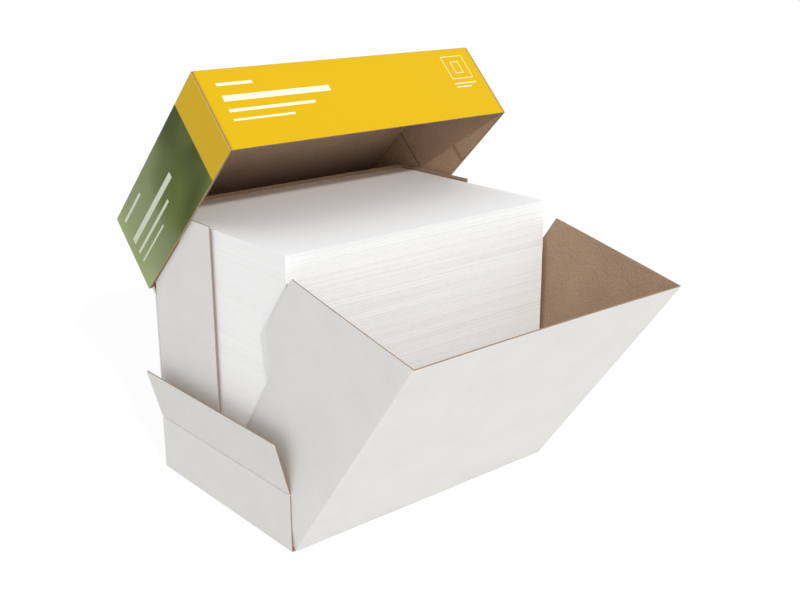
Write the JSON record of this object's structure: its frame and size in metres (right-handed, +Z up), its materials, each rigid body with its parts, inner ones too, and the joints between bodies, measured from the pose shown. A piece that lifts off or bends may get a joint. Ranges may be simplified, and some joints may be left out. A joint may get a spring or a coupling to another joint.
{
  "type": "open carton of loose printer paper",
  "caption": "Open flip-top carton of thin corrugated board with a drop front, holding a stack of loose printer paper; the lid and the side flaps turn on their creases.",
  "frame": {"origin": "on the floor, under the middle of the paper stack", "axes": "+X to the right along the open front, +Y to the back where the lid hangs, +Z up"},
  "size_m": [0.335, 0.4333, 0.3942],
  "materials": {
    "white_board": "matt white outer liner, brown kraft inside and on the cut edges",
    "printed_board": "matt print in yellow and blurred green outside, brown kraft inside and on the cut edges",
    "paper": "uncoated white office paper"
  },
  "bodies": {
    "root": {"carton_base": "white_board", "inner_collar": "white_board", "drop_front": "white_board", "paper_stack": "paper"},
    "lid": {"lid": "printed_board"},
    "left_flap": {"left_flap": "white_board"},
    "right_flap": {"right_flap": "white_board"}
  },
  "joints": [
    {"name": "lid_hinge", "type": "hinge", "parent": "root", "child": "lid", "pos_m": [0, 0.1093, 0.1778], "axis": [-1, 0, 0], "range_deg": [-23, 130]},
    {"name": "left_flap_hinge", "type": "hinge", "parent": "root", "child": "left_flap", "pos_m": [-0.1543, 0, 0.0539], "axis": [0, -1, 0], "range_deg": [-15, 150]},
    {"name": "right_flap_hinge", "type": "hinge", "parent": "root", "child": "right_flap", "pos_m": [0.1543, 0, 0.0539], "axis": [0, 1, 0], "range_deg": [-15, 150]}
  ]
}
